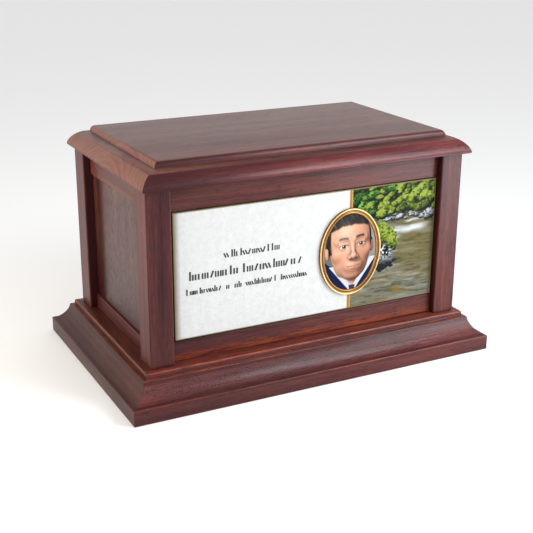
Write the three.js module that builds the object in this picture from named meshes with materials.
// A rectangular wooden urn: a moulded base, a frame and panel box, a lid that lifts off,
// and a printed plate with an oval portrait in its front opening.
// Millimetres, +Z up. The origin is on the surface it stands on, under its middle.
// X runs along the front, and the front faces -Y.
import * as THREE from "three";

// Driving dimensions
const GAP = 0.3; // left between pieces that meet
const EASE = 0.6; // small chamfer on square edges

const BASE = { length: 300, depth: 194, height: 30.3 };
const PLINTH_EDGE = 11.2; // upright edge at the foot of the base
const MOULDING_WIDTH = 36;
const REBATE = { width: 8, height: 12.3 }; // holds the bottom board from below
const BOARD_THICKNESS = 12;

const BOX = { length: 258, depth: 153, top: 159.6 }; // over the outer faces of the posts
const POST = { x: 18, y: 20 };
const RAIL_SETBACK = 5.8; // rails lie this far behind the posts' outer faces
const PANEL_SETBACK = 7.4; // panels on the sides and back; the front one lies behind the plate
const SIDE_OPENING = { low: 41.6, high: 140.5 };
const FRONT_OPENING = { low: 45.4, high: 141 };

const PLATE = { left: -107.9, right: 110.2, low: 46.2, high: 140.2, thickness: 3 };
const PLATE_PROUD = 0.2; // the plate's face stands this far in front of the rails
const OVAL = { x: 34, z: 92, halfWidth: 24.35, halfHeight: 31.7 }; // the ring's middle line
const RING = { halfWidth: 2.05, height: 2.2, steps: 64 };
const DISC_THICKNESS = 0.7;

const LID = { length: 266.2, depth: 165.5, underside: 159.6, top: 176.1 };
const LID_STEP = { inset: 27.75, height: 4 }; // drops between the walls and keeps the lid in place

const CURVE_STEPS = 8;

// Finishes
const wood = (color) => new THREE.MeshStandardMaterial({ color, roughness: 0.4, metalness: 0 });
const FINISH = {
  wood: wood(0x5a2c26),
  wood_dark: wood(0x4a211d),
  wood_light: wood(0x6b3a30),
  plate: new THREE.MeshStandardMaterial({ color: 0xe9e9e6, roughness: 0.35, metalness: 0 }),
  gold: new THREE.MeshStandardMaterial({ color: 0xd9a552, roughness: 0.3, metalness: 1 }),
  portrait: new THREE.MeshStandardMaterial({ color: 0xa98471, roughness: 0.3, metalness: 0 }),
};

// The group, and a helper that adds one named piece to it
const urn = new THREE.Group();

function addPiece(name, geometry, material, place = [0, 0, 0], turn = 0) {
  const piece = new THREE.Mesh(geometry, material);
  piece.name = name;
  piece.position.set(...place);
  piece.rotation.z = turn;
  urn.add(piece);
}

// A solid from its faces, each a list of corner points in order as seen from outside
function solidFromFaces(faces) {
  const positions = [];
  for (const face of faces) {
    for (let i = 1; i < face.length - 1; i++) {
      for (const corner of [face[0], face[i], face[i + 1]]) positions.push(...corner);
    }
  }
  const geometry = new THREE.BufferGeometry();
  geometry.setAttribute("position", new THREE.Float32BufferAttribute(positions, 3));
  geometry.computeVertexNormals();
  return geometry;
}

// A box with chamfered edges, from its lowest to its highest corner
function easedBox(low, high, ease = EASE) {
  const size = new THREE.Vector3(...high).sub(new THREE.Vector3(...low));
  const outline = new THREE.Shape();
  outline.moveTo(ease, ease);
  outline.lineTo(size.x - ease, ease);
  outline.lineTo(size.x - ease, size.y - ease);
  outline.lineTo(ease, size.y - ease);
  outline.closePath();
  const geometry = new THREE.ExtrudeGeometry(outline, {
    depth: size.z - 2 * ease,
    bevelThickness: ease,
    bevelSize: ease,
    bevelSegments: 1,
  });
  return geometry.translate(low[0], low[1], low[2] + ease);
}

// A moulding with both ends cut to a mitre. The section is in (inset, height), the outer face
// lies on y = 0 and faces -Y, and the length is measured along that face.
function mitredMoulding(section, length) {
  const outline = THREE.ShapeUtils.isClockWise(section) ? section.slice().reverse() : section;
  const end = (inset) => length / 2 - inset - GAP / 2;
  const right = outline.map((p) => [end(p.x), p.x, p.y]);
  const left = outline.map((p) => [-end(p.x), p.x, p.y]);
  const faces = [];
  outline.forEach((point, i) => {
    const next = (i + 1) % outline.length;
    faces.push([left[i], left[next], right[next], right[i]]);
  });
  for (const [a, b, c] of THREE.ShapeUtils.triangulateShape(outline, [])) {
    faces.push([right[a], right[b], right[c]]);
    faces.push([left[c], left[b], left[a]]);
  }
  return solidFromFaces(faces);
}

// A block made of rectangles stacked on one another, each with its half sizes and height
function stackedRectangles(rings) {
  const corners = rings.map(({ x, y, z }) => [[-x, -y, z], [x, -y, z], [x, y, z], [-x, y, z]]);
  const faces = [corners[0].slice().reverse(), corners.at(-1)];
  for (let i = 1; i < corners.length; i++) {
    for (let k = 0; k < 4; k++) {
      const next = (k + 1) % 4;
      faces.push([corners[i - 1][k], corners[i - 1][next], corners[i][next], corners[i][k]]);
    }
  }
  return solidFromFaces(faces);
}

// Base: the moulding's section, drawn from the foot of its outer face up to the ledge
function baseSection() {
  const section = new THREE.Path();
  section.moveTo(EASE, 0);
  section.lineTo(0, EASE);
  section.lineTo(0, PLINTH_EDGE);
  section.lineTo(0.7, PLINTH_EDGE + 0.7);
  section.lineTo(1.6, 12);
  section.bezierCurveTo(6.2, 13.6, 11.3, 20.1, 12.2, 25.3); // cove
  section.lineTo(13, 26);
  section.lineTo(15.4, 26.2);
  section.lineTo(15.6, 29.1);
  section.quadraticCurveTo(15.7, BASE.height, 16.9, BASE.height); // small bead
  section.lineTo(MOULDING_WIDTH, BASE.height);
  section.lineTo(MOULDING_WIDTH, REBATE.height);
  section.lineTo(MOULDING_WIDTH - REBATE.width, REBATE.height);
  section.lineTo(MOULDING_WIDTH - REBATE.width, 0);
  return section.getPoints(CURVE_STEPS);
}

function makeBase() {
  const section = baseSection();
  const long = mitredMoulding(section, BASE.length);
  const short = mitredMoulding(section, BASE.depth);
  const quarter = Math.PI / 2;
  addPiece("base_moulding_front", long, FINISH.wood, [0, -BASE.depth / 2, 0]);
  addPiece("base_moulding_right", short, FINISH.wood, [BASE.length / 2, 0, 0], quarter);
  addPiece("base_moulding_back", long, FINISH.wood, [0, BASE.depth / 2, 0], 2 * quarter);
  addPiece("base_moulding_left", short, FINISH.wood, [-BASE.length / 2, 0, 0], -quarter);
  const inset = MOULDING_WIDTH - REBATE.width + GAP;
  const x = BASE.length / 2 - inset;
  const y = BASE.depth / 2 - inset;
  addPiece("bottom_board", easedBox([-x, -y, 0], [x, y, BOARD_THICKNESS]), FINISH.wood_dark);
}

// Box: corner posts, then rails and a panel on each of its four walls
const BOX_LOW = BASE.height + GAP;
const BOX_HIGH = BOX.top - GAP;

function makePosts() {
  const outer = { x: BOX.length / 2, y: BOX.depth / 2 };
  for (const [side, sx] of [["left", -1], ["right", 1]]) {
    for (const [face, sy] of [["front", -1], ["back", 1]]) {
      const centre = [sx * (outer.x - POST.x / 2), sy * (outer.y - POST.y / 2)];
      const low = [centre[0] - POST.x / 2, centre[1] - POST.y / 2, BOX_LOW];
      const high = [centre[0] + POST.x / 2, centre[1] + POST.y / 2, BOX_HIGH];
      addPiece(`post_${face}_${side}`, easedBox(low, high), FINISH.wood);
    }
  }
}

// One wall, in its own frame: its outer faces lie on y = 0 and look to -Y, with the wall's middle at x = 0
function makeWall(name, place, turn, clearLength, thickness, opening, panelSetback) {
  const x = clearLength / 2 - GAP;
  const parts = {
    top_rail: [[-x, RAIL_SETBACK, opening.high], [x, thickness, BOX_HIGH]],
    bottom_rail: [[-x, RAIL_SETBACK, BOX_LOW], [x, thickness, opening.low]],
    panel: [[-x, panelSetback, opening.low + GAP], [x, thickness, opening.high - GAP]],
  };
  for (const [part, [low, high]] of Object.entries(parts)) {
    const finish = part === "panel" ? FINISH.wood_dark : FINISH.wood;
    addPiece(`${part}_${name}`, easedBox(low, high), finish, place, turn);
  }
}

function makeWalls() {
  const quarter = Math.PI / 2;
  const alongX = BOX.length - 2 * POST.x;
  const alongY = BOX.depth - 2 * POST.y;
  const behindPlate = RAIL_SETBACK - PLATE_PROUD + PLATE.thickness + GAP;
  makeWall("front", [0, -BOX.depth / 2, 0], 0, alongX, POST.y, FRONT_OPENING, behindPlate);
  makeWall("right", [BOX.length / 2, 0, 0], quarter, alongY, POST.x, SIDE_OPENING, PANEL_SETBACK);
  makeWall("back", [0, BOX.depth / 2, 0], 2 * quarter, alongX, POST.y, SIDE_OPENING, PANEL_SETBACK);
  makeWall("left", [-BOX.length / 2, 0, 0], -quarter, alongY, POST.x, SIDE_OPENING, PANEL_SETBACK);
}

// Front: the plate, and on it the oval ring with the portrait inside
const PLATE_FACE = -BOX.depth / 2 + RAIL_SETBACK - PLATE_PROUD;

function makePlate() {
  const low = [PLATE.left, PLATE_FACE, PLATE.low];
  const high = [PLATE.right, PLATE_FACE + PLATE.thickness, PLATE.high];
  addPiece("picture_plate", easedBox(low, high, 0.3), FINISH.plate);
}

// The ring's section, in (offset from its middle line, height above the plate): two ridges and a groove
function ringSection() {
  const { halfWidth, height } = RING;
  return [
    [-halfWidth, 0],
    [-halfWidth, height * 0.45],
    [-halfWidth * 0.45, height * 0.8],
    [0, height * 0.6],
    [halfWidth * 0.5, height],
    [halfWidth, height * 0.5],
    [halfWidth, 0],
  ];
}

function makeOval() {
  const section = ringSection();
  const back = PLATE_FACE - GAP;
  const point = (step, [offset, height]) => {
    const angle = (step / RING.steps) * 2 * Math.PI;
    const normal = new THREE.Vector2(Math.cos(angle) * OVAL.halfHeight, Math.sin(angle) * OVAL.halfWidth);
    normal.normalize().multiplyScalar(offset);
    const x = OVAL.x + Math.cos(angle) * OVAL.halfWidth + normal.x;
    const z = OVAL.z + Math.sin(angle) * OVAL.halfHeight + normal.y;
    return [x, back - height, z];
  };
  const faces = [];
  for (let step = 0; step < RING.steps; step++) {
    section.forEach((corner, i) => {
      const next = section[(i + 1) % section.length];
      faces.push([point(step, corner), point(step, next), point(step + 1, next), point(step + 1, corner)]);
    });
  }
  addPiece("oval_frame", solidFromFaces(faces), FINISH.gold);

  const inner = RING.halfWidth + GAP;
  const outline = new THREE.Shape();
  outline.absellipse(0, 0, OVAL.halfWidth - inner, OVAL.halfHeight - inner, 0, 2 * Math.PI);
  const disc = new THREE.ExtrudeGeometry(outline, {
    depth: DISC_THICKNESS,
    bevelEnabled: false,
    curveSegments: RING.steps / 2,
  });
  disc.rotateX(Math.PI / 2);
  addPiece("portrait_disc", disc, FINISH.portrait, [OVAL.x, back, OVAL.z]);
}

// Lid: one board with a moulded edge, a raised top and a step underneath
function lidProfile() {
  const profile = new THREE.Path();
  profile.moveTo(0.4, 0);
  profile.lineTo(0, 0.5);
  profile.bezierCurveTo(0.2, 4, 6, 11.6, 14.2, 12.1); // rounded edge
  profile.lineTo(14.6, 12.2);
  profile.bezierCurveTo(14.9, 14.4, 16, 16.5, 18.2, LID.top - LID.underside); // raised top's edge
  return profile.getPoints(CURVE_STEPS);
}

function makeLid() {
  const step = { x: LID.length / 2 - LID_STEP.inset, y: LID.depth / 2 - LID_STEP.inset };
  const rings = [
    { x: step.x - EASE, y: step.y - EASE, z: LID.underside - LID_STEP.height },
    { ...step, z: LID.underside - LID_STEP.height + EASE },
    { ...step, z: LID.underside },
  ];
  for (const { x: inset, y: rise } of lidProfile()) {
    rings.push({ x: LID.length / 2 - inset, y: LID.depth / 2 - inset, z: LID.underside + rise });
  }
  addPiece("lid", stackedRectangles(rings), FINISH.wood_light);
}

makeBase();
makePosts();
makeWalls();
makePlate();
makeOval();
makeLid();

export default urn;
